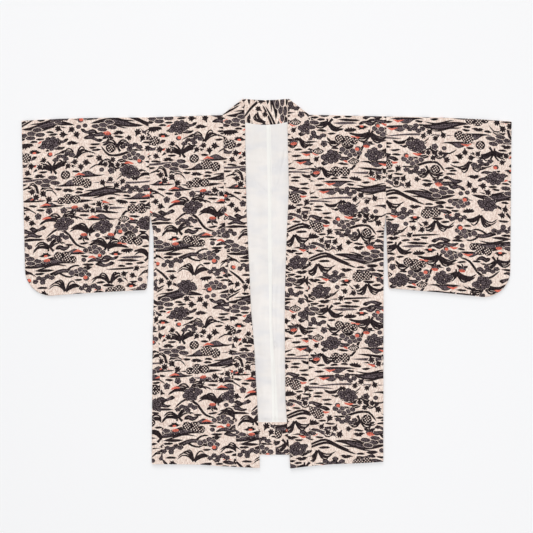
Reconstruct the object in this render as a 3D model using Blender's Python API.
"""A lined haori jacket laid out flat on its back, front upwards, neck towards +Y.

Metres, +Z up. The origin is the middle of the jacket's outline on the surface it lies on.
Left and right are the wearer's: the right-hand half has negative X.
Every piece of cloth is a wall made from its middle surface, so a piece that is cut in one
length (front, over the shoulder, back, hem turn-up) is one solid that turns round its folds.
"""

import math

import bmesh
import bpy

MM = 0.001

# ---------------------------------------------------------------- cloth and layers
CLOTH = 1.0 * MM        # wall of one cloth
BAND = 2.0 * MM         # the collar is the cloth doubled
GAP = 0.3 * MM          # between pieces at a seam and between layers
SEAM = 0.5 * GAP        # each piece stops this far from its seam line

# middle height of each layer, from the surface up
Z_BACK = 0.5 * CLOTH
Z_INNER = Z_BACK + CLOTH + GAP          # lining, back turn-up, lower half of a tucked gusset
Z_UNDER_FRONT = Z_INNER + CLOTH + GAP   # front turn-up, upper half of a tucked gusset
Z_FRONT = Z_UNDER_FRONT + CLOTH + GAP
Z_NECK_BAND = 0.5 * BAND                # the collar behind the neck lies on the surface
Z_FRONT_BAND = Z_FRONT                  # and on the fronts it is level with them
FOLD_STEPS = 6                          # facets round a half turn of cloth

# ---------------------------------------------------------------- sizes, in millimetres
SIDE_SIGN = {"right": -1, "left": 1}

# Shoulder fold: where it meets the collar, the armhole seam, and the sleeve's outer end.
SHOULDER = {
    "right": [("neck", -116.7, 441.9), ("armhole", -310.1, 435.6), ("upper", -436.9, 434.6), ("lower", -541.9, 432.0), ("wrist", -644.3, 426.7)],
    "left": [("neck", 112.5, 442.4), ("armhole", 315.4, 438.2), ("upper", 455.6, 435.3), ("lower", 560.6, 430.9), ("wrist", 644.6, 424.6)],
}
UNDERARM_Y = 184.1      # lower end of the armhole seam
UNDERARM_X = {"right": -306.2, "left": 313.8}
GUSSET_TOP_Y = 100.0    # the gusset starts here; above it the side is open

# Sleeve: corner where its outer and lower edges would meet, and where it would meet the body side.
SLEEVE_CORNER = {"right": (-633.8, -37.7), "left": (640.6, -43.7)}
SLEEVE_CORNER_R = 70.0
SLEEVE_INNER = {        # the edge next to the body below the armhole, top to bottom
    "right": [(-308.8, 113.3), (-312.2, 21.4), (-315.4, -12.7), (-320.1, -18.8)],
    "left": [(316.4, 113.3), (319.6, 21.4), (321.7, -11.0), (324.0, -14.0)],
}
WRIST_OPENING = 230.0   # from the shoulder fold down the outer edge

# Side of the body below the armhole, top to bottom.
SIDE_EDGE = {
    "right": [(-297.0, 129.0), (-297.0, -44.2), (-299.6, -149.2), (-301.7, -411.7), (-302.0, -476.0)],
    "left": [(308.0, 126.4), (307.5, -44.2), (307.3, -300.0), (307.0, -470.8)],
}
GUSSET_HALF = (4.7, 30.0)   # half the gusset's width at its top and at the hem

# Collar on each front: height, free edge, width.
FRONT_BAND = {
    "right": [(420.0, -56.3, 57.5), (323.0, -55.0, 57.5), (179.0, -52.4, 57.5), (47.6, -45.8, 57.0), (-70.5, -40.6, 57.0),
              (-162.4, -32.7, 58.0), (-306.7, -24.8, 60.0), (-411.7, -19.6, 60.5), (-486.5, -17.7, 61.0)],
    "left": [(415.0, 55.5, 57.5), (349.5, 56.6, 57.5), (257.6, 59.0, 57.0), (192.0, 56.6, 57.5), (113.3, 52.6, 58.5), (-18.0, 48.7, 60.5),
             (-96.7, 47.9, 62.0), (-201.7, 48.7, 62.0), (-306.7, 49.7, 61.5), (-385.5, 55.3, 60.0), (-453.7, 61.0, 58.5), (-487.9, 62.6, 58.5)],
}
BAND_CORNER = {"right": (-61.6, 485.0), "left": (58.1, 485.0)}   # top corner of the collar at each side of the neck
NECK_TOP_DIP = 3.8      # the collar's top edge sags this much behind the neck
NECK_DEPTH = 26.0       # the neckline's middle is this far below the shoulder
NECK_STEPS = 10         # its curve is set out in this many steps

# Hem of the fronts: across from the side to the collar seam, and down to it.
FRONT_HEM = {
    "right": [(-302.0, -476.4), (-226.0, -476.8), (-174.0, -477.6), (-122.0, -481.4), (-78.7, -483.8), (-17.7, -486.6)],
    "left": [(307.0, -470.8), (245.0, -474.0), (167.0, -477.0), (121.1, -480.6), (98.0, -482.6), (62.6, -487.9)],
}
BACK_HEM_Y = -452.0
TURN_UP = 85.5          # cloth turned up inside the back hem, and inside the front hem
CENTRE_SEAM = ((8.0, 430.0), (24.0, BACK_HEM_Y))   # centre back seam, neck and hem
LINING_HEM_Y = BACK_HEM_Y + TURN_UP + 0.3


# ---------------------------------------------------------------- geometry helpers (millimetres)
def between(table, y, column=1):
    """A column of a table of rows, read at height y, where the rows run downwards by their first column."""
    if y >= table[0][0]:
        return table[0][column]
    for a, b in zip(table, table[1:]):
        if y >= b[0]:
            s = (a[0] - y) / (a[0] - b[0])
            return a[column] + s * (b[column] - a[column])
    return table[-1][column]


def along(points, x):
    """The height at x of a line through points, whichever way the points run."""
    rows = sorted(points)
    if x <= rows[0][0]:
        a, b = rows[0], rows[1]
    elif x >= rows[-1][0]:
        a, b = rows[-2], rows[-1]
    else:
        a, b = next((p, q) for p, q in zip(rows, rows[1:]) if x <= q[0])
    return a[1] + (x - a[0]) / (b[0] - a[0]) * (b[1] - a[1])


def shoulder_y(side, x):
    return along([(px, py) for _, px, py in SHOULDER[side]], x)


def centre_x(y):
    (x0, y0), (x1, y1) = CENTRE_SEAM
    return x0 + (y0 - y) / (y0 - y1) * (x1 - x0)


def neck_stations():
    """The places along the neckline where its curve is set out."""
    xr, xl = SHOULDER["right"][0][1], SHOULDER["left"][0][1]
    return [xr + (xl - xr) * k / NECK_STEPS for k in range(NECK_STEPS + 1)]


def neckline_y(x):
    """Lower edge of the collar behind the neck: a shallow hollow from one side of the neck to the other."""
    (_, xr, yr), (_, xl, yl) = SHOULDER["right"][0], SHOULDER["left"][0]
    rows = []
    for k, station in enumerate(neck_stations()):
        s = k / NECK_STEPS
        rows.append((station, yr + s * (yl - yr) - NECK_DEPTH * math.sin(math.pi * s)))
    return along(rows, x)


def neck_edge(start, end):
    """The neckline's stations strictly between two places, in the order from start to end."""
    low, high = min(start, end), max(start, end)
    found = [x for x in neck_stations() if low + 1.0 < x < high - 1.0]
    return found if start < end else found[::-1]


def side_x(side, y):
    """The side of the body: armhole seam, the open stretch under the arm, then the edge down to the hem."""
    _, ax, ay = SHOULDER[side][1]
    rows = [(ay, ax), (UNDERARM_Y, UNDERARM_X[side])] + [(py, px) for px, py in SIDE_EDGE[side]]
    return between(rows, y)


def gusset_half(y):
    s = (GUSSET_TOP_Y - y) / (GUSSET_TOP_Y - FRONT_HEM["right"][0][1])
    return GUSSET_HALF[0] + max(0.0, min(1.0, s)) * (GUSSET_HALF[1] - GUSSET_HALF[0])


def gusset_seam_x(side, y):
    """Where front and back stop beside the gusset. The right gusset lies open, the left one is tucked in between them."""
    if side == "left" or y > GUSSET_TOP_Y:
        return side_x(side, y)
    return side_x(side, y) - SIDE_SIGN[side] * gusset_half(y)


def rounded(a, corner, c, radius, steps):
    """Points of an arc that rounds the corner between a and c."""
    ua, uc = [((p[0] - corner[0]), (p[1] - corner[1])) for p in (a, c)]
    la, lc = math.hypot(*ua), math.hypot(*uc)
    ua, uc = (ua[0] / la, ua[1] / la), (uc[0] / lc, uc[1] / lc)
    half = math.acos(max(-1, min(1, ua[0] * uc[0] + ua[1] * uc[1]))) / 2
    back = radius / math.tan(half)
    mid = (ua[0] + uc[0], ua[1] + uc[1])
    lm = math.hypot(*mid)
    centre = (corner[0] + mid[0] / lm * radius / math.sin(half), corner[1] + mid[1] / lm * radius / math.sin(half))
    p0 = (corner[0] + ua[0] * back, corner[1] + ua[1] * back)
    p1 = (corner[0] + uc[0] * back, corner[1] + uc[1] * back)
    a0 = math.atan2(p0[1] - centre[1], p0[0] - centre[0])
    a1 = math.atan2(p1[1] - centre[1], p1[0] - centre[0])
    turn = (a1 - a0 + math.pi) % (2 * math.pi) - math.pi
    return [(centre[0] + radius * math.cos(a0 + turn * k / steps), centre[1] + radius * math.sin(a0 + turn * k / steps)) for k in range(steps + 1)]


def outward(points, i):
    """Unit vector to the left of a line's direction at point i."""
    a = points[max(i - 1, 0)]
    b = points[min(i + 1, len(points) - 1)]
    dx, dy = b[0] - a[0], b[1] - a[1]
    length = math.hypot(dx, dy)
    return (-dy / length, dx / length)


# ---------------------------------------------------------------- building cloth
class Cloth:
    """Collects the middle surface of one piece in millimetres, then makes it a wall."""

    def __init__(self, name, wall, colour, roughness):
        self.name, self.wall, self.colour, self.roughness = name, wall, colour, roughness
        self.bm = bmesh.new()

    def row(self, points, z):
        """Vertices at (x, y, z) for a list of plan points, with z one height or a list of them."""
        heights = z if isinstance(z, list) else [z] * len(points)
        return [self.bm.verts.new((p[0] * MM, p[1] * MM, h)) for p, h in zip(points, heights)]

    def strip(self, first, second):
        for i in range(len(first) - 1):
            self.bm.faces.new((first[i], first[i + 1], second[i + 1], second[i]))

    def panel(self, ring):
        self.bm.faces.new(ring)

    def fold(self, edge, out, z0, z1, steps=FOLD_STEPS):
        """Half a turn from height z0 to z1 round the line edge, which is the outermost reach of the cloth.
        out holds the unit vectors that point out of the garment there. Gives the first and last rows of vertices."""
        r = abs(z1 - z0) / 2
        centre = (z0 + z1) / 2
        rows = []
        for k in range(steps + 1):
            a = math.pi * k / steps
            inset = (r * (1 - math.sin(a)) + self.wall / 2) / MM
            z = centre + (z0 - centre) * math.cos(a)
            rows.append(self.row([(p[0] - o[0] * inset, p[1] - o[1] * inset) for p, o in zip(edge, out)], z))
        for a, b in zip(rows, rows[1:]):
            self.strip(a, b)
        return rows[0], rows[-1]

    def finish(self, parent):
        bmesh.ops.recalc_face_normals(self.bm, faces=self.bm.faces)
        mesh = bpy.data.meshes.new(self.name)
        self.bm.to_mesh(mesh)
        self.bm.free()
        ob = bpy.data.objects.new(self.name, mesh)
        bpy.context.scene.collection.objects.link(ob)
        wall = ob.modifiers.new("wall", "SOLIDIFY")
        wall.thickness = self.wall
        wall.offset = 0.0
        wall.use_even_offset = True
        material = bpy.data.materials.new(self.name)
        material.use_nodes = True
        shader = material.node_tree.nodes["Principled BSDF"]
        shader.inputs["Base Color"].default_value = (*self.colour, 1.0)
        shader.inputs["Roughness"].default_value = self.roughness
        shader.inputs["Metallic"].default_value = 0.0
        mesh.materials.append(material)
        ob.parent = parent
        return ob


PRINT_COLOUR = (0.45, 0.36, 0.33)
LINING_COLOUR = (0.86, 0.85, 0.82)


def body(side, parent):
    """Front turn-up, front, shoulder, back and back turn-up, in one length."""
    s = SIDE_SIGN[side]
    seam = SEAM / MM
    cloth = Cloth(f"body_{side}", CLOTH, PRINT_COLOUR, 0.8)

    # shoulder fold, from the armhole to the neck
    neck_x = SHOULDER[side][0][1] + s * seam * 2
    arm_x = SHOULDER[side][1][1] - s * seam
    xs = [arm_x + (neck_x - arm_x) * k / 3 for k in range(4)]
    shoulder = [(x, shoulder_y(side, x)) for x in xs]
    front_top, back_top = cloth.fold(shoulder, [(0, 1)] * 4, Z_FRONT, Z_BACK)

    # collar seam down the front
    band = FRONT_BAND[side]
    rows = [(y, x + s * w + s * seam) for y, x, w in band]
    hem = FRONT_HEM[side]
    seam_line = [(between(rows, y), y) for y in [p[0] for p in band if p[0] > -440.0] + [-440.0]]

    # front hem, from the collar seam to the side; the turn-up stops short of a tucked gusset
    inner_x = between(rows, -487.0)
    outer_x = gusset_seam_x(side, -476.0) - s * seam
    tucked = side == "left"
    turn_x = outer_x - s * (GUSSET_HALF[1] + 1.5) if tucked else outer_x
    xs = [inner_x + (turn_x - inner_x) * k / 5 for k in range(6)]
    hem_line = [(x, along(hem, x)) for x in xs]
    hem_front, hem_inner = cloth.fold(hem_line, [(0, -1)] * 6, Z_FRONT, Z_UNDER_FRONT)
    r_hem = (Z_FRONT - Z_UNDER_FRONT) / 2 + CLOTH / 2

    # side of the front, from hem to underarm
    corner = [(outer_x, along(hem, outer_x))] if tucked else []
    side_ys = [-411.7, -300.0, -149.2, -44.2, GUSSET_TOP_Y]
    front_side = corner + [(gusset_seam_x(side, y - 0.001) - s * seam, y) for y in side_ys]
    open_side = [(side_x(side, y) - s * (0 if y < UNDERARM_Y else seam), y) for y in (GUSSET_TOP_Y + 1.0, 128.0, UNDERARM_Y)]
    if tucked:
        open_side = open_side[1:]
    ring = (
        list(reversed(front_top))
        + cloth.row(list(reversed(front_side + open_side)), Z_FRONT)
        + list(reversed(hem_front))
        + cloth.row(list(reversed(seam_line)), Z_FRONT)
    )
    # ring runs neck to armhole, down the side, along the hem and up the collar seam
    cloth.panel(ring)

    # the front's turn-up, lying inside it
    top_y = hem_line[0][1] + TURN_UP
    end_y = hem_line[-1][1] + TURN_UP
    inner_top = [(between(rows, top_y), top_y), (turn_x if tucked else gusset_seam_x(side, end_y) - s * seam, end_y)]
    cloth.panel(hem_inner + cloth.row(list(reversed(inner_top)), Z_UNDER_FRONT))

    # neckline of the back, from the collar to the centre seam
    fold_depth = ((Z_FRONT - Z_BACK) / 2 + CLOTH / 2) / MM
    neck_end = shoulder_y(side, neck_x) - fold_depth
    centre_top = centre_x(neckline_y(centre_x(415.0)))
    xs = neck_edge(neck_x, centre_top + s * seam) + [centre_top + s * seam]
    neckline = [(x, min(neckline_y(x) - 2 * seam, neck_end)) for x in xs]

    # back hem, from the centre seam to the side
    c_hem = centre_x(BACK_HEM_Y) + s * seam
    outer_b = gusset_seam_x(side, BACK_HEM_Y) - s * seam
    turn_b = outer_b - s * (GUSSET_HALF[1] + 1.5) if tucked else outer_b
    xs = [c_hem + (turn_b - c_hem) * k / 4 for k in range(5)]
    back_line = [(x, BACK_HEM_Y) for x in xs]
    hem_back, hem_up = cloth.fold(back_line, [(0, -1)] * 5, Z_BACK, Z_INNER)
    corner = [(outer_b, BACK_HEM_Y)] if tucked else []
    back_side = corner + [(gusset_seam_x(side, y - 0.001) - s * seam, y) for y in side_ys]
    cloth.panel(
        back_top
        + cloth.row(neckline, Z_BACK)
        + hem_back
        + cloth.row(back_side + open_side, Z_BACK)
    )
    top = BACK_HEM_Y + TURN_UP
    c_up = centre_x(top) + s * seam
    o_up = gusset_seam_x(side, top) - s * seam
    if tucked:
        o_up -= s * (gusset_half(top) + 1.5)
    cloth.panel(hem_up + cloth.row([(o_up, top), (c_up, top)], Z_INNER))
    return cloth.finish(parent)


def sleeve(side, parent):
    """A flat tube: folded at the shoulder, closed along the bottom and the lower outer edge."""
    s = SIDE_SIGN[side]
    seam = SEAM / MM
    cloth = Cloth(f"sleeve_{side}", CLOTH, PRINT_COLOUR, 0.8)
    top = [(x, y) for _, x, y in SHOULDER[side][1:]]
    top[0] = (top[0][0] + s * seam, top[0][1])
    wrist = top[-1]
    corner = SLEEVE_CORNER[side]
    inner_bottom = SLEEVE_INNER[side][-1]
    share = WRIST_OPENING / (wrist[1] - corner[1])
    opening_end = (wrist[0] + (corner[0] - wrist[0]) * share, wrist[1] - WRIST_OPENING)
    mid_outer = ((opening_end[0] + corner[0]) / 2, (opening_end[1] + corner[1] + SLEEVE_CORNER_R) / 2)
    arc = rounded(opening_end, corner, inner_bottom, SLEEVE_CORNER_R, 12)
    mid_bottom = ((arc[-1][0] + inner_bottom[0]) / 2, (arc[-1][1] + inner_bottom[1]) / 2)
    sewn = [opening_end, mid_outer] + arc + [mid_bottom, inner_bottom]

    # each fold's rows start on the front and end on the back
    top_front, top_back = cloth.fold(top, [(0, 1)] * len(top), Z_FRONT, Z_BACK)
    out = [outward(sewn, i) for i in range(len(sewn))]
    facing = -1 if (out[0][0] * s < 0) else 1
    out = [(o[0] * facing, o[1] * facing) for o in out]
    sewn_front, sewn_back = cloth.fold(sewn, out, Z_FRONT, Z_BACK)
    inner = [(x, y) for x, y in SLEEVE_INNER[side][:-1]]
    inner = [(UNDERARM_X[side] + s * seam, UNDERARM_Y)] + inner
    for top_row, sewn_row, z in ((top_front, sewn_front, Z_FRONT), (top_back, sewn_back, Z_BACK)):
        cloth.panel(list(top_row) + list(sewn_row) + cloth.row(list(reversed(inner)), z))
    return cloth.finish(parent)


def gusset(side, parent):
    """A wedge folded lengthwise. On the right it lies open, half of it on the front; on the left it is tucked in."""
    s = SIDE_SIGN[side]
    seam = SEAM / MM
    cloth = Cloth(f"gusset_{side}", CLOTH, PRINT_COLOUR, 0.8)
    front_y = along(FRONT_HEM[side], SIDE_EDGE[side][-1][0])
    ys = [GUSSET_TOP_Y, -44.2, -149.2, -300.0, -411.7]
    if side == "right":
        upper_z, lower_z, way = Z_FRONT, Z_BACK, s
        fold_line = [(side_x(side, y), y) for y in ys] + [(side_x(side, front_y), front_y)]
        seam_x = [gusset_seam_x(side, y - 0.001) + s * seam for y in ys]
        upper_end = (gusset_seam_x(side, front_y) + s * seam, front_y)
        lower_end = (gusset_seam_x(side, BACK_HEM_Y) + s * seam, BACK_HEM_Y)
    else:
        upper_z, lower_z, way = Z_UNDER_FRONT, Z_INNER, -s
        fold_y = (front_y + BACK_HEM_Y) / 2
        fold_line = [(side_x(side, y) - s * gusset_half(y), y) for y in ys] + [(side_x(side, fold_y) - s * gusset_half(fold_y), fold_y)]
        seam_x = [side_x(side, y) - s * seam for y in ys]
        upper_end = (side_x(side, front_y) - s * seam, front_y)
        lower_end = (side_x(side, BACK_HEM_Y) - s * seam, BACK_HEM_Y)
    upper_row, lower_row = cloth.fold(fold_line, [(way, 0)] * len(fold_line), upper_z, lower_z)
    seam_rows = [(x, y) for x, y in zip(seam_x, ys)]
    cloth.strip(upper_row, cloth.row(seam_rows + [upper_end], upper_z))
    cloth.strip(lower_row, cloth.row(seam_rows + [lower_end], lower_z))
    return cloth.finish(parent)


def collar(parent):
    """One strip, as sections across it from the seam edge to the free edge: up the right front, folded over
    along a slanting line at the side of the neck, behind the neck, folded back and down the left front."""
    cloth = Cloth("collar", BAND, PRINT_COLOUR, 0.8)
    seam = SEAM / MM

    def front(side):
        """Sections from the hem to the slanting fold."""
        s = SIDE_SIGN[side]
        rows = []
        for y, x, w in reversed(FRONT_BAND[side]):
            rows.append(((x + s * w - s * seam, y), (x, y)))
        hem_in = along(FRONT_HEM[side], rows[0][0][0])
        rows[0] = ((rows[0][0][0], hem_in), rows[0][1])
        return rows

    def slant(side):
        """The slanting fold: its two ends and the unit vector out of it."""
        _, x, y = SHOULDER[side][0]
        cx, cy = BAND_CORNER[side]
        dx, dy = cx - x, cy - y
        length = math.hypot(dx, dy)
        out = (-dy / length, dx / length)
        if out[1] < 0:
            out = (-out[0], -out[1])
        return (x, y), (cx, cy), out

    rows = []
    z_mid = (Z_FRONT_BAND + Z_NECK_BAND) / 2
    r = (Z_FRONT_BAND - Z_NECK_BAND) / 2
    reach = (r + BAND / 2) / MM

    def fold_rows(side):
        """From the front level to the neck level."""
        a, b, out = slant(side)
        found = []
        for k in range(FOLD_STEPS + 1):
            t = math.pi * k / FOLD_STEPS
            inset = (r * (1 - math.sin(t)) + BAND / 2) / MM
            z = z_mid + r * math.cos(t)
            found.append(cloth.row([(a[0] - out[0] * inset, a[1] - out[1] * inset), (b[0] - out[0] * inset, b[1] - out[1] * inset)], z))
        return found

    def fan(side):
        """A section between the front's last straight one and the fold."""
        s = SIDE_SIGN[side]
        a, b, out = slant(side)
        y, x, w = FRONT_BAND[side][0]
        return ((a[0] - s * 1.0, a[1] - 2 * reach), (x + (b[0] - x) * 0.45, y + (b[1] - y) * 0.45))

    for p, q in front("right"):
        rows.append(cloth.row([p, q], Z_FRONT_BAND))
    rows.append(cloth.row(list(fan("right")), Z_FRONT_BAND))
    rows += fold_rows("right")

    # behind the neck: lower edge on the neckline, upper edge sagging a little
    (ax, ay), (bx, by), _ = slant("right")
    (cx, cy), (dx, dy), _ = slant("left")
    for k in range(1, NECK_STEPS):
        s = k / NECK_STEPS
        low_x = ax + (cx - ax) * s
        top_x = bx + (dx - bx) * s
        top_y = by + (dy - by) * s - NECK_TOP_DIP * math.sin(math.pi * s)
        rows.append(cloth.row([(low_x, min(neckline_y(low_x), ay - reach)), (top_x, top_y)], Z_NECK_BAND))
    rows += list(reversed(fold_rows("left")))
    rows.append(cloth.row(list(fan("left")), Z_FRONT_BAND))
    for p, q in reversed(front("left")):
        rows.append(cloth.row([p, q], Z_FRONT_BAND))
    for a, b in zip(rows, rows[1:]):
        cloth.strip(a, b)
    return cloth.finish(parent)


def lining(side, parent):
    """Half of the back lining, from the neckline to the turn-up and from the centre seam to the side."""
    s = SIDE_SIGN[side]
    seam = SEAM / MM
    cloth = Cloth(f"lining_{side}", CLOTH, LINING_COLOUR, 0.5)
    neck_x = SHOULDER[side][0][1]
    arm_x = SHOULDER[side][1][1] - s * 4.0
    depth = 6.0     # the lining stops short of the inside of the shoulder fold
    centre_top = centre_x(415.0)
    xs = [neck_x + s * 2.0] + neck_edge(neck_x + s * 2.0, centre_top + s * seam) + [centre_top + s * seam]
    ring = [(arm_x, shoulder_y(side, arm_x) - depth)]
    ring += [(x, min(neckline_y(x) - 2 * seam, shoulder_y(side, neck_x) - depth)) for x in xs]
    ring += [(centre_x(LINING_HEM_Y) + s * seam, LINING_HEM_Y)]
    inset = 2.5
    for y in (LINING_HEM_Y, -149.2, -44.2, GUSSET_TOP_Y - 2.0):
        ring.append((side_x(side, y) - s * (gusset_half(y) + inset), y))
    ring.append((side_x(side, UNDERARM_Y) - s * 6.0, UNDERARM_Y))
    cloth.panel(cloth.row(ring, Z_INNER))
    return cloth.finish(parent)


def main():
    for ob in list(bpy.data.objects):
        bpy.data.objects.remove(ob, do_unlink=True)
    haori = bpy.data.objects.new("haori", None)
    bpy.context.scene.collection.objects.link(haori)
    for side in ("right", "left"):
        body(side, haori)
        sleeve(side, haori)
        gusset(side, haori)
        lining(side, haori)
    collar(haori)


main()
